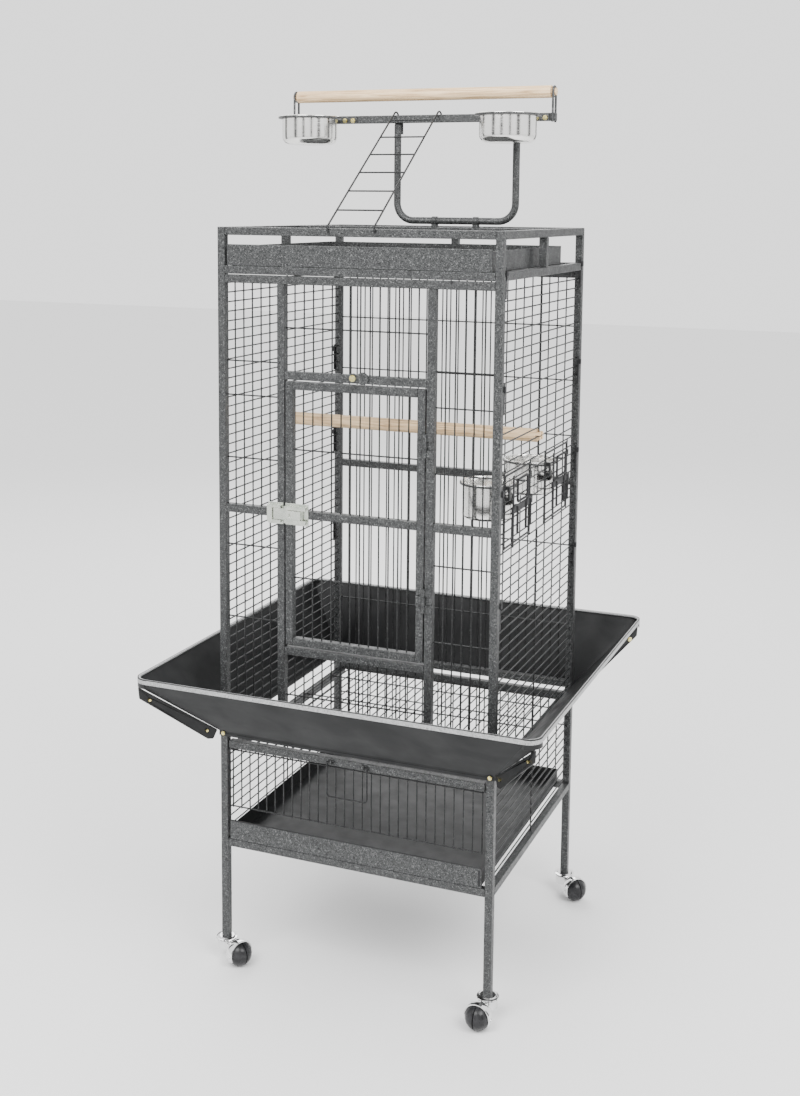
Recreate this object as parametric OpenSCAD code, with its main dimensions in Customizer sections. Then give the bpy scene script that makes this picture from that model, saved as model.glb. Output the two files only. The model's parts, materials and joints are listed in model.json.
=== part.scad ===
// Play-top bird cage on its own four legs, with a seed skirt, two pull-out trays and
// two swing-out feeder doors. Origin at the middle of the footprint on the floor,
// +X to the right along the front, +Y to the back, +Z up. Millimetres.

/* [Overall] */
// outside width of the cage body
cage_w = 520; // [420:5:700]
// outside depth of the cage body
cage_d = 500; // [400:5:700]
// floor to the underside of the base rails
leg_h = 219; // [170:1:300]
// base rails to the skirt's lower edge
lower_h = 216; // [160:1:300]
// skirt's lower edge to the top of the cage's front frame
body_h = 823; // [640:1:1100]
// height of the play-top box on the roof
play_h = 82; // [70:1:120]
// height of the play stand's crossbar above the roof
stand_h = 197; // [120:1:260]

/* [Frame] */
// side of the square frame tube
tube = 14; // [10:0.5:25]
// floor to the lower end of the legs
foot_h = 42; // [36:1:60]
// wire of the panels
wire = 2.6; // [2:0.1:4]
// spacing of the panel wires
pitch = 17.1; // [12:0.1:25]
// wire of rungs, bails and hooks
rod = 3.2; // [2.5:0.1:5]

/* [Front door] */
// width of the door
door_w = 258; // [180:1:340]
// gap round the door
door_gap = 2; // [1:0.5:4]
// sill height as a share of the body height
sill_f = 0.21; // [0.1:0.01:0.4]
// height of the rail above the door, as a share of the body height
head_f = 0.785; // [0.6:0.01:0.9]
// height of the middle rails, as a share of the body height
mid_f = 0.492; // [0.3:0.01:0.7]
// hinge pin radius
hinge_r = 2; // [1.5:0.1:4]

/* [Skirt] */
// overall width across the skirt
skirt_w = 738; // [600:1:1000]
// overall depth across the skirt
skirt_d = 734; // [600:1:1000]
// how far the skirt rises
skirt_rise = 111; // [60:1:180]
// height of the folded lip
lip_h = 9; // [4:0.5:20]
// rounding of the skirt's corners in plan
skirt_r = 24; // [8:1:60]

/* [Trays and grate] */
// sheet thickness of skirt and trays
sheet = 1.5; // [1:0.1:3]
// height of both tray fronts
front_h = 36; // [24:1:60]
// depth of the top tray
top_tray_d = 418; // [250:1:600]
// gap between tray fronts and posts
tray_gap = 5; // [2:0.5:10]
// height of the grate rail above the base rails
grate_up = 186; // [120:1:260]
// length of the wires hanging under the grate rail
apron_h = 113; // [60:1:160]
// width of the pull handle
bail_w = 76; // [50:1:140]
// sideways place of the pull handle
bail_x = -8; // [-150:1:150]
// drop of the pull handle
bail_h = 62; // [40:1:90]

/* [Feeders] */
// width of a feeder door opening
feeder_w = 150; // [120:1:190]
// height of the feeder openings' lower edge, as a share of the body height
feeder_f = 0.457; // [0.2:0.01:0.7]
// feeder opening height in wire gaps
feeder_n = 8; // [6:1:12]
// outside diameter of a feeder cup
cup_d = 90; // [60:1:100]
// depth of a feeder cup
cup_h = 62; // [40:1:90]

/* [Perches] */
// inside perch diameter
perch_d = 24; // [15:1:35]
// inside perch height as a share of the body height
perch_f = 0.654; // [0.3:0.01:0.9]
// top perch diameter
top_perch_d = 22; // [15:1:35]
// top perch above the crossbar
top_perch_up = 44; // [30:1:80]

/* [Play stand] */
// depth position of the play stand
stand_y = 45; // [-60:1:90]
// diameter of the bent loop tube
loop_d = 13; // [10:0.5:20]
// loop's left leg
loop_x0 = -46; // [-120:1:0]
// loop's right leg
loop_x1 = 184; // [60:1:220]
// bend radius of the loop
loop_r = 32; // [20:1:60]
// left bowl centre
bowl_x0 = -193; // [-230:1:-120]
// right bowl centre
bowl_x1 = 189; // [100:1:200]
// bowl diameter
bowl_d = 101; // [70:1:140]
// bowl depth
bowl_h = 50; // [30:1:80]
// ladder width
ladder_w = 85; // [60:1:140]
// ladder centre
ladder_x = -6; // [-100:1:100]
// rungs on the ladder
rungs = 6; // [4:1:9]

/* [Casters] */
// ball wheel diameter
ball_d = 44; // [36:1:50]
// swivel to ball centre
trail = 38; // [30:1:45]

/* [Clearances] */
// radial gap of a running fit
fit = 0.06; // [0.02:0.01:0.1]
// radial gap round a bolt in its hole
bolt_gap = 0.3; // [0.1:0.1:1]
// gap between parts that slide past each other
slide_gap = 0.5; // [0.3:0.1:1]

/* [Hidden] */
$fn = 32;
w2 = cage_w / 2;
d2 = cage_d / 2;
wi = w2 - tube;
di = d2 - tube;
xm = w2 - tube / 2;
ym = d2 - tube / 2;
base_z = leg_h;
base_t = base_z + tube;
skirt_z = base_z + lower_h;
body_t = skirt_z + body_h;
play_z = body_t + 1.5;
roof_z = play_z + play_h - 1.5;
bottom_z = skirt_z - 5;
sill_z = skirt_z + sill_f * body_h - tube;
head_z = skirt_z + head_f * body_h;
mid_z = skirt_z + mid_f * body_h;
jamb_x = door_w / 2 + door_gap;
door_z0 = sill_z + tube + 4;
door_z1 = head_z - 3;
// side wires: even gaps from the base rail to the play-top rail
side_n = floor((play_z - base_t) / pitch + 0.5) + 1;
side_s = (play_z - base_t) / side_n;
feed_a = floor((skirt_z + feeder_f * body_h - base_t) / side_s + 0.5);
feed_b = feed_a + feeder_n;
feed_z0 = base_t + feed_a * side_s;
feed_z1 = base_t + feed_b * side_s;
perch_i = floor((skirt_z + perch_f * body_h - base_t) / side_s + 0.5);
perch_z = base_t + perch_i * side_s;
// free depth beside the two feeder openings, shared out over three strips
spare = 2 * di - 2 * feeder_w;
fy0 = -di + 0.18 * spare + feeder_w / 2;
fy1 = fy0 + feeder_w + 0.523 * spare;
weld = 0.6;
grate_z = base_z + grate_up;
bar_z = roof_z + stand_h - tube / 2;
bar_cz = bar_z + tube / 2;
top_perch_z = bar_cz + top_perch_up;
hold_x = w2 - 7;
ball_r = ball_d / 2;
hinge_y = -d2 - 4;
knuckle_d = 2 * hinge_r + 3.4;
latch_z = mid_z + tube / 2;
catch_z = head_z + 9.5;
flare_x = skirt_w / 2 - w2;
flare_y = skirt_d / 2 - d2;
lip_z = skirt_z + skirt_rise;
powder = [0.36, 0.37, 0.37];
sheet_c = [0.25, 0.26, 0.26];
steel = [0.8, 0.8, 0.78];
wood_c = [0.78, 0.66, 0.5];
brass_c = [0.72, 0.62, 0.32];
black = [0.06, 0.06, 0.06];

// a box between two corners
module slab(a, b) {
  translate([min(a[0], b[0]), min(a[1], b[1]), min(a[2], b[2])])
    cube([abs(b[0] - a[0]), abs(b[1] - a[1]), abs(b[2] - a[2])]);
}

// panel wires along each axis
module wire_x(x0, x1, y, z, d = wire) {
  translate([x0, y, z]) rotate([0, 90, 0]) rotate([0, 0, 22.5]) cylinder(d = d, h = x1 - x0, $fn = 8);
}

module wire_y(y0, y1, x, z, d = wire) {
  translate([x, y1, z]) rotate([90, 0, 0]) rotate([0, 0, 22.5]) cylinder(d = d, h = y1 - y0, $fn = 8);
}

module wire_z(z0, z1, x, y, d = wire) {
  translate([x, y, z0]) rotate([0, 0, 22.5]) cylinder(d = d, h = z1 - z0, $fn = 8);
}

// round rod along each axis
module rod_x(x0, x1, y, z, d = rod) {
  translate([x0, y, z]) rotate([0, 90, 0]) cylinder(d = d, h = x1 - x0);
}

module rod_y(y0, y1, x, z, d = rod) {
  translate([x, y0, z]) rotate([-90, 0, 0]) cylinder(d = d, h = y1 - y0);
}

module rod_z(z0, z1, x, y, d = rod) {
  translate([x, y, z0]) cylinder(d = d, h = z1 - z0);
}

// an arc of round rod in the YZ plane at x, from angle a to b, 0 along +Y and 90 up
module arc_yz(x, y, z, r, a, b, d = rod) {
  translate([x, y, z]) rotate([90, 0, 90]) rotate([0, 0, a])
    rotate_extrude(angle = b - a) translate([r, 0]) circle(d = d, $fn = 20);
}

// an arc of round rod in the XZ plane at y, 0 along +X and 90 up
module arc_xz(x, y, z, r, a, b, d = rod) {
  translate([x, y, z]) rotate([90, 0, 0]) rotate([0, 0, a])
    rotate_extrude(angle = b - a) translate([r, 0]) circle(d = d, $fn = 20);
}

// upright wires between xa and xb, with cross wires at the given heights
module v_zone(xa, xb, y, za, zb, side, crosses) {
  n = max(1, floor((xb - xa) / pitch + 0.5) - 1);
  s = (xb - xa) / (n + 1);
  for (i = [1 : n])
    wire_z(za, zb, xa + i * s, y);
  for (z = crosses)
    if (z > za + wire && z < zb - wire)
      wire_x(xa, xb, y + side * (wire - weld), z);
}

module corner_posts() {
  color(powder)
  for (sx = [-1, 1], sy = [-1, 1])
    slab([sx * wi, sy * di, foot_h], [sx * w2, sy * d2, roof_z]);
}

module leg_plugs() {
  color(black)
  for (sx = [-1, 1], sy = [-1, 1])
    translate([sx * xm, sy * ym, foot_h - 4])
      difference() {
        translate([-5.5, -5.5, 0]) cube([11, 11, 4]);
        translate([0, 0, -1]) cylinder(r = 4 + fit, h = 6);
      }
}

module front_rails() {
  color(powder)
  for (z = [base_z, bottom_z, body_t - tube, play_z, roof_z - tube])
    slab([-wi, -d2, z], [wi, -di, z + tube]);
}

module back_rails() {
  color(powder)
  for (z = [base_z, grate_z, bottom_z, mid_z, body_t - tube, play_z, roof_z - tube])
    slab([-wi, d2, z], [wi, di, z + tube]);
}

module side_rails() {
  color(powder)
  for (sx = [-1, 1], z = [base_z, play_z, roof_z - tube])
    slab([sx * wi, -di, z], [sx * w2, di, z + tube]);
}

module door_jambs() {
  color(powder)
  for (sx = [-1, 1])
    slab([sx * jamb_x, -d2, bottom_z + tube], [sx * (jamb_x + tube), -di, body_t - tube]);
}

module front_cross_rails() {
  color(powder) {
    for (z = [sill_z, head_z])
      slab([-jamb_x, -d2, z], [jamb_x, -di, z + tube]);
    for (sx = [-1, 1])
      slab([sx * (jamb_x + tube), -d2, mid_z], [sx * wi, -di, mid_z + tube]);
  }
}

module grille_front() {
  up = [for (f = [0.26, 0.42, 0.61, 0.745, 0.818]) skirt_z + f * body_h];
  lo = bottom_z + tube;
  hi = body_t - tube;
  color(powder) {
    for (sx = [-1, 1]) {
      a = sx < 0 ? -wi : jamb_x + tube;
      b = sx < 0 ? -jamb_x - tube : wi;
      v_zone(a, b, -ym, lo, mid_z, 1, up);
      v_zone(a, b, -ym, mid_z + tube, hi, 1, up);
    }
    v_zone(-jamb_x, jamb_x, -ym, head_z + tube, hi, 1, [(head_z + tube + hi) / 2]);
    v_zone(-jamb_x, jamb_x, -ym, lo, sill_z, 1, [(lo + sill_z) / 2]);
  }
}

module grille_back() {
  lo = bottom_z + tube;
  hi = body_t - tube;
  color(powder) {
    v_zone(-wi, wi, ym, base_t, grate_z, -1, [base_t + 0.686 * (grate_z - base_t)]);
    v_zone(-wi, wi, ym, lo, mid_z, -1, [for (f = [0.15, 0.345]) skirt_z + f * body_h]);
    v_zone(-wi, wi, ym, mid_z + tube, hi, -1, [for (f = [0.61, 0.742, 0.87]) skirt_z + f * body_h]);
  }
}

// level wires of a side panel from gap line a to gap line b, with the upright that ties them
module h_zone(sx, a, b, za, zb) {
  for (i = [a : b])
    wire_y(-di, di, sx * xm, base_t + i * side_s);
  wire_z(za, zb, sx * (xm - wire + weld), 0);
}

module grille_left() {
  color(powder) h_zone(-1, 1, side_n - 1, base_t, play_z);
}

module grille_right() {
  color(powder) {
    h_zone(1, 1, feed_a, base_t, feed_z0);
    h_zone(1, feed_b, side_n - 1, feed_z1, play_z);
  }
}

// short wires and uprights round the feeder openings
module strip(ya, yb, ta, tb) {
  e = wire / 2;
  for (i = [feed_a + 1 : feed_b - 1])
    wire_y(ya, yb, xm, base_t + i * side_s);
  if (ta)
    rod_z(feed_z0 + e, feed_z1 - e, xm, ya, wire);
  if (tb)
    rod_z(feed_z0 + e, feed_z1 - e, xm, yb, wire);
}

module feeder_jambs() {
  h = feeder_w / 2;
  color(powder) {
    strip(-di, fy0 - h, false, true);
    strip(fy0 + h, fy1 - h, true, true);
    strip(fy1 + h, di, true, false);
  }
}

module roof_grille() {
  n = floor(2 * wi / pitch + 0.5) - 1;
  s = 2 * wi / (n + 1);
  z = play_z + tube - wire / 2;
  color(powder) {
    for (i = [1 : n])
      wire_y(-di, di, -wi + i * s, z);
    for (f = [-0.5, 0.5])
      wire_x(-wi + s / 2, wi - s / 2, f * di, z - wire + weld);
  }
}

module grate_runners() {
  color(powder)
  for (sx = [-1, 1])
    slab([sx * (wi - 14), -di, grate_z - 8], [sx * (xm - 1.5 * wire + weld - 0.4), di, grate_z - 1]);
}

// plan outline with rounded corners
module plan(w, d, r) {
  square([w, d - 2 * r], center = true);
  square([w - 2 * r, d], center = true);
  for (sx = [-1, 1], sy = [-1, 1])
    translate([sx * (w / 2 - r), sy * (d / 2 - r)]) circle(r = r, $fn = 48);
}

module lip_ring(z0, z1) {
  translate([0, 0, z0]) linear_extrude(z1 - z0)
    difference() {
      plan(skirt_w, skirt_d, skirt_r);
      plan(skirt_w - 2 * sheet, skirt_d - 2 * sheet, skirt_r - sheet);
    }
}

// sheet section: foot against the posts, slope and lip; f is the flare
module skirt_section(f) {
  polygon([
    [0, skirt_z - 7], [sheet, skirt_z - 7], [sheet, skirt_z + 1],
    [f, lip_z], [f - sheet, lip_z + sheet], [0, skirt_z + sheet + 1.2]
  ]);
}

// one skirt panel facing -Y on a body whose half width is a and half depth is b
module skirt_front_panel() {
  intersection() {
    linear_extrude(2000)
      polygon([[-w2, -d2 + 1], [w2, -d2 + 1], [w2, -d2], [skirt_w / 2, -skirt_d / 2],
        [-skirt_w / 2, -skirt_d / 2], [-w2, -d2]]);
    union() {
      intersection() {
        translate([-skirt_w / 2, -d2, 0]) rotate([90, 0, 90])
          linear_extrude(skirt_w) mirror([1, 0]) skirt_section(flare_y);
        linear_extrude(2000) plan(skirt_w, skirt_d, skirt_r);
      }
      lip_ring(lip_z, lip_z + lip_h);
      intersection() {
        lip_ring(lip_z - 8, lip_z + 1);
        slab([-skirt_w, -skirt_d, 0], [-skirt_w / 2 + skirt_r, -skirt_d / 2 + skirt_r, 2000]);
      }
      intersection() {
        lip_ring(lip_z - 8, lip_z + 1);
        slab([skirt_w, -skirt_d, 0], [skirt_w / 2 - skirt_r, -skirt_d / 2 + skirt_r, 2000]);
      }
    }
  }
}

module skirt_right_panel() {
  intersection() {
    linear_extrude(2000)
      polygon([[w2 - 1, -d2], [w2, -d2], [skirt_w / 2, -skirt_d / 2],
        [skirt_w / 2, skirt_d / 2], [w2, d2], [w2 - 1, d2]]);
    union() {
      intersection() {
        translate([w2, skirt_d / 2, 0]) rotate([90, 0, 0])
          linear_extrude(skirt_d) skirt_section(flare_x);
        linear_extrude(2000) plan(skirt_w, skirt_d, skirt_r);
      }
      lip_ring(lip_z, lip_z + lip_h);
      intersection() {
        lip_ring(lip_z - 8, lip_z + 1);
        slab([skirt_w, -skirt_d, 0], [skirt_w / 2 - skirt_r, -skirt_d / 2 + skirt_r, 2000]);
      }
      intersection() {
        lip_ring(lip_z - 8, lip_z + 1);
        slab([skirt_w, skirt_d, 0], [skirt_w / 2 - skirt_r, skirt_d / 2 - skirt_r, 2000]);
      }
    }
  }
}

module skirt_front() {
  color(sheet_c)
  difference() {
    skirt_front_panel();
    post_bolt_places() bolt_hole(2.2);
  }
}

module skirt_back() {
  color(sheet_c)
  difference() {
    mirror([0, 1, 0]) skirt_front_panel();
    post_bolt_places() bolt_hole(2.2);
  }
}

module skirt_right() {
  color(sheet_c)
  difference() {
    skirt_right_panel();
    post_bolt_places() bolt_hole(2.2);
  }
}

module skirt_left() {
  color(sheet_c)
  difference() {
    mirror([1, 0, 0]) skirt_right_panel();
    post_bolt_places() bolt_hole(2.2);
  }
}

// places children in the upright diagonal plane of a skirt corner, X outwards
module at_corner(sx, sy) {
  a = atan2(sy * flare_y, sx * flare_x);
  translate([sx * w2, sy * d2, 0]) rotate([0, 0, a]) children();
}

seam_l = sqrt(flare_x * flare_x + flare_y * flare_y);
seam_s = (skirt_rise - 1) / seam_l;

module corner_flanges() {
  color(sheet_c)
  difference() {
    for (sx = [-1, 1], sy = [-1, 1])
      at_corner(sx, sy)
        rotate([90, 0, 0]) translate([0, 0, -sheet]) linear_extrude(2 * sheet)
        polygon([
          [6, skirt_z + 6 * seam_s - 1], [14, skirt_z - 13], [24, skirt_z - 12],
          [seam_l - 12, skirt_z + (seam_l - 34) * seam_s - 6],
          [seam_l - 10, skirt_z + (seam_l - 10) * seam_s - 1]
        ]);
    flange_bolt_places() bolt_hole(2.4);
  }
}

// dome-headed bolt along +Z, head up, shank down
module bolt(l = 8, r = 2.9, hr = 5) {
  translate([0, 0, -l]) cylinder(r = r, h = l + 0.5, $fn = 20);
  cylinder(r = hr, h = 2.2, $fn = 24);
  translate([0, 0, 2.1]) cylinder(r = hr * 0.72, h = 1, $fn = 24);
}

// places children at each bolt of a group, +Z pointing out of the bolted face
module flange_bolt_places() {
  for (sx = [-1, 1], sy = [-1, 1], s = [26, seam_l - 30])
    at_corner(sx, sy)
      translate([s, -sx * sy * sheet, skirt_z + s * seam_s - 13])
        rotate([sx * sy > 0 ? 90 : -90, 0, 0]) children();
}

module post_bolt_places() {
  for (sx = [-1, 1], sy = [-1, 1]) {
    translate([sx * xm, sy * (d2 + sheet), skirt_z - 3]) rotate([sy > 0 ? -90 : 90, 0, 0]) children();
    translate([sx * (w2 + sheet), sy * ym, skirt_z - 3]) rotate([0, sx * 90, 0]) children();
  }
}

// where the strap of a bowl ring centred at x ends, clear of the perch holder
function strap_end(x) = min(x + 69, hold_x - 6);

module arm_bolt_places() {
  for (x = [bowl_x0, bowl_x1], o = [7, 23])
    translate([strap_end(x) - o, stand_y - tube / 2 - 3, bar_cz - 2]) rotate([90, 0, 0]) children();
}

module loop_bolt_places() {
  for (x = [loop_x0, loop_x1])
    translate([x + 3.6, stand_y + tube / 2 + 3, bar_cz - 1]) rotate([-90, 0, 0]) children();
}

// clearance hole for a bolt of shank radius r
module bolt_hole(r) {
  translate([0, 0, -12]) cylinder(r = r + bolt_gap, h = 16, $fn = 20);
}

module bolts() {
  color(brass_c) {
    flange_bolt_places() bolt(6, 2.4, 4.6);
    post_bolt_places() bolt(6, 2.2, 3.6);
    arm_bolt_places() bolt(9, 2.4, 4.4);
    loop_bolt_places() bolt(9, 2.2, 3.4);
    translate([0, -d2 - 5, catch_z]) rotate([90, 0, 0]) bolt(9, 3, 5.6);
  }
}

module roof_supports() {
  color(powder) {
    for (sx = [-1, 1])
      slab([sx * wi, -tube / 2, play_z + tube], [sx * w2, tube / 2, roof_z - tube]);
    slab([-tube / 2, di, play_z + tube], [tube / 2, d2, roof_z - tube]);
    slab([-wi, stand_y - 4, roof_z - tube], [wi, stand_y + tube - 4, roof_z]);
  }
}

loop_y = stand_y + 3;
loop_z = roof_z + 12;

module loop_stand() {
  t = bar_z - 3;
  color(powder) {
    for (x = [loop_x0, loop_x1]) {
      rod_z(loop_z + loop_r, t, x, loop_y, loop_d);
      difference() {
        slab([x - 8, stand_y + tube / 2, bar_z - 20], [x + 8, stand_y + tube / 2 + 3, bar_cz + 4]);
        loop_bolt_places() bolt_hole(2.2);
      }
    }
    rod_x(loop_x0 + loop_r, loop_x1 - loop_r, loop_y, loop_z, loop_d);
    arc_xz(loop_x0 + loop_r, loop_y, loop_z + loop_r, loop_r, 180, 270, loop_d);
    arc_xz(loop_x1 - loop_r, loop_y, loop_z + loop_r, loop_r, 270, 360, loop_d);
    for (s = [-1, 1]) {
      x = (loop_x0 + loop_x1) / 2 + s * 40;
      rod_x(x - 4.5, x + 4.5, loop_y, loop_z, loop_d + 3);
      slab([x - 4.5, loop_y - 7, roof_z], [x + 4.5, loop_y + 7, loop_z - loop_d / 2]);
    }
  }
}

module crossbar() {
  color(powder) slab([-w2 + 3, stand_y - tube / 2, bar_z], [w2 - 3, stand_y + tube / 2, bar_z + tube]);
}

module perch_holders() {
  o = tube / 2 + 2;
  color(powder)
  for (sx = [-1, 1]) {
    x = sx * hold_x;
    for (s = [-1, 1])
      rod_z(bar_z - 2, top_perch_z, x, stand_y + s * o, 4);
    arc_yz(x, stand_y, top_perch_z, o, 0, 180, 4);
    rod_y(stand_y - o, stand_y + o, x, top_perch_z - 8.5, 3);
  }
}

module top_perch() {
  color(wood_c)
  translate([0, stand_y, top_perch_z]) rotate([0, 90, 0]) {
    translate([0, 0, -hold_x + 5]) cylinder(d = top_perch_d, h = 2 * hold_x - 10);
    translate([0, 0, -hold_x - 4]) cylinder(d = 13, h = 2 * hold_x + 8);
  }
}

module bowl_rings() {
  r = bowl_d / 2 + 0.8;
  y = stand_y - tube / 2 - r - 7;
  color(powder)
  for (x = [bowl_x0, bowl_x1]) {
    difference() {
      translate([x, y, bar_cz - 1]) cylinder(r = r + 7, h = 3, $fn = 64);
      translate([x, y, bar_cz - 5]) cylinder(r = r, h = 12, $fn = 64);
    }
    difference() {
      slab([x - 10, stand_y - tube / 2 - 3, bar_z + 1], [strap_end(x), stand_y - tube / 2, bar_z + tube - 1]);
      arm_bolt_places() bolt_hole(2.4);
    }
  }
}

// spun steel bowl: rim rests at z, r outside radius of the body, h depth, c corner radius
module bowl(r, h, c, t = 1.2) {
  rotate_extrude()
    difference() {
      union() {
        translate([0, -h]) square([r - c, h]);
        translate([0, -h + c]) square([r, h - c + 1.5]);
        translate([r - c, -h + c]) circle(r = c);
        translate([0, 0.3]) square([r + 3, 1.6]);
      }
      union() {
        translate([0, -h + t]) square([r - c, h + 9]);
        translate([0, -h + c]) square([r - t, h + 9]);
        translate([r - c, -h + c]) circle(r = c - t);
      }
      translate([-2 * r, -2 * h]) square([2 * r, 4 * h]);
    }
}

bowl_y = stand_y - tube / 2 - bowl_d / 2 - 7.8;

module bowl_left() {
  color(steel) translate([bowl_x0, bowl_y, bar_cz + 2]) bowl(bowl_d / 2, bowl_h, 14);
}

module bowl_right() {
  color(steel) translate([bowl_x1, bowl_y, bar_cz + 2]) bowl(bowl_d / 2, bowl_h, 14);
}

module inner_perch() {
  color(wood_c)
  difference() {
    translate([-xm - 3, 0, perch_z]) rotate([0, 90, 0]) cylinder(d = perch_d, h = 2 * xm + 6);
    for (sx = [-1, 1]) {
      a = sx * (xm - 5);
      b = sx * (xm + 9);
      c = sx * (xm - wire * 1.5 - 1);
      slab([a, -perch_d, perch_z - wire / 2 - 0.2], [b, perch_d, perch_z + wire / 2 + 0.2]);
      slab([a, -perch_d, perch_z + 7], [b, perch_d, perch_z + 30]);
      slab([a, -perch_d, perch_z - 30], [b, perch_d, perch_z - 7]);
      slab([c, -3, 0], [b, 3, 3000]);
    }
  }
}

hinge_zs = [door_z0 + 0.235 * (door_z1 - door_z0), door_z0 + 0.8 * (door_z1 - door_z0)];

// fixed half of the door hinges: leaf, two knuckles and the pin
module hinge_pins() {
  x = jamb_x - door_gap / 2;
  color(powder)
  for (z = hinge_zs) {
    rod_z(z - 20, z - 8, x, hinge_y, knuckle_d);
    rod_z(z + 8, z + 20, x, hinge_y, knuckle_d);
    rod_z(z - 10, z + 10, x, hinge_y, 2 * hinge_r);
    for (k = [-20, 8])
      slab([x + 1, -d2 - 3, z + k], [x + 14, -d2, z + k + 12]);
  }
}

module door_hinge_leaves() {
  x = jamb_x - door_gap / 2;
  color(powder)
  for (z = hinge_zs) {
    difference() {
      union() {
        rod_z(z - 8 + slide_gap, z + 8 - slide_gap, x, hinge_y, knuckle_d);
        slab([x - 14, -d2 - 3, z - 8 + slide_gap], [x - 1, -d2, z + 8 - slide_gap]);
      }
      rod_z(z - 12, z + 12, x, hinge_y, 2 * (hinge_r + fit));
    }
  }
}

module door_stiles() {
  color(powder)
  for (sx = [-1, 1])
    slab([sx * (door_w / 2 - tube), -d2, door_z0], [sx * door_w / 2, -di, door_z1]);
}

module door_rails() {
  x = door_w / 2 - tube;
  color(powder)
  for (z = [door_z0, mid_z, door_z1 - tube])
    slab([-x, -d2, z], [x, -di, z + tube]);
}

module door_bars() {
  x = door_w / 2 - tube;
  c0 = (door_z0 + tube + mid_z) / 2;
  c1 = (door_z1 + mid_z) / 2;
  color(powder) {
    v_zone(-x, x, -ym, door_z0 + tube, mid_z, 1, [c0]);
    v_zone(-x, x, -ym, mid_z + tube, door_z1 - tube, 1, [c1]);
  }
}

// latch: plate and guides on the door, keeper on the jamb, flat bolt between them
module latch_plate() {
  x0 = -door_w / 2 + 1;
  color(steel) {
    slab([x0, -d2 - 2, latch_z - 19], [x0 + 44, -d2, latch_z + 19]);
    for (s = [-1, 1]) {
      slab([x0, -d2 - 8.8, latch_z + s * 10.5], [x0 + 42, -d2 - 1, latch_z + s * 15]);
      slab([x0, -d2 - 8.8, latch_z + s * 8.5], [x0 + 42, -d2 - 7.3, latch_z + s * 11]);
    }
  }
}

module latch_keeper() {
  x1 = -jamb_x - 1;
  color(steel) {
    slab([x1 - 29, -d2 - 2, latch_z - 19], [x1, -d2, latch_z + 19]);
    for (s = [-1, 1])
      slab([x1 - 28, -d2 - 8.5, latch_z + s * 10.5], [x1 - 2, -d2 - 1, latch_z + s * 15]);
    slab([x1 - 28, -d2 - 9.5, latch_z - 15], [x1 - 18, -d2 - 7.5, latch_z + 15]);
  }
}

module latch_bolt() {
  x0 = -door_w / 2;
  color(steel)
  difference() {
    union() {
      slab([x0 - 20, -d2 - 6.8, latch_z - 10], [x0 + 36, -d2 - 2.5, latch_z + 10]);
      slab([x0 + 8, -d2 - 11, latch_z - 7.8], [x0 + 34, -d2 - 6, latch_z + 7.8]);
    }
    slab([x0 + 12, -d2 - 13, latch_z - 3], [x0 + 19, -d2 - 8, latch_z + 3]);
  }
}

module catch_disc() {
  color(powder)
  difference() {
    translate([0, -d2 - 1, 0]) rotate([90, 0, 0]) linear_extrude(3) {
      translate([0, catch_z]) circle(r = 8);
      translate([17, catch_z]) circle(r = 10.5);
      polygon([[0, catch_z - 6], [0, catch_z + 6], [17, catch_z + 8], [17, catch_z - 8]]);
    }
    rod_y(-d2 - 9, -d2 + 2, 0, catch_z, 2 * (3 + fit));
  }
}

// sheet tray: front from z to z + front_h, box behind it to y1
module tray(z, y1, wall) {
  x = wi - tray_gap;
  slab([-x, -d2, z], [x, -d2 + sheet, z + front_h]);
  difference() {
    slab([-x + 4, -d2 + sheet / 2, z], [x - 4, y1, z + wall]);
    slab([-x + 4 + sheet, -d2 + sheet, z + sheet], [x - 4 - sheet, y1 - sheet, z + wall + 5]);
  }
}

module top_tray() {
  color(powder) tray(play_z + tube + slide_gap, -d2 + top_tray_d, front_h - 3);
}

module bottom_tray() {
  color(sheet_c) tray(base_t + slide_gap, di - 6, front_h - 8);
}

module grate_rail() {
  z = grate_z;
  color(powder) {
    slab([-wi + 3, -d2, z], [wi - 3, -di, z + tube]);
    for (sx = [-1, 1])
      difference() {
        translate([bail_x, 0, 0])
          slab([sx * (bail_w / 2 - 6), -d2 - 7, z + 3], [sx * (bail_w / 2 - 10), -d2 + 1, z + 11]);
        rod_x(bail_x - bail_w, bail_x + bail_w, -d2 - 4, z + 7, rod + 2 * fit);
      }
  }
}

module grate_floor() {
  n = floor(2 * (wi - 10) / pitch + 0.5);
  s = 2 * (wi - 10) / n;
  color(powder) {
    for (i = [0 : n])
      wire_y(-di, di - 4, -wi + 10 + i * s, grate_z + 3);
    for (f = [-0.75, -0.25, 0.25, 0.75])
      wire_x(-wi + 5, wi - 5, f * di, grate_z + 3 - wire + weld);
    wire_x(-wi + 5, wi - 5, di - 5, grate_z + 3 - wire + weld);
  }
}

module grate_apron() {
  n = floor(2 * (wi - 8) / pitch + 0.5);
  s = 2 * (wi - 8) / n;
  color(powder) {
    for (i = [0 : n])
      wire_z(grate_z - apron_h, grate_z, -wi + 8 + i * s, -ym);
    wire_x(-wi + 5, wi - 5, -ym - wire + weld, grate_z - apron_h + 3);
    wire_x(-wi + 5, wi - 5, -ym - wire + weld, grate_z - 4);
  }
}

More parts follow.
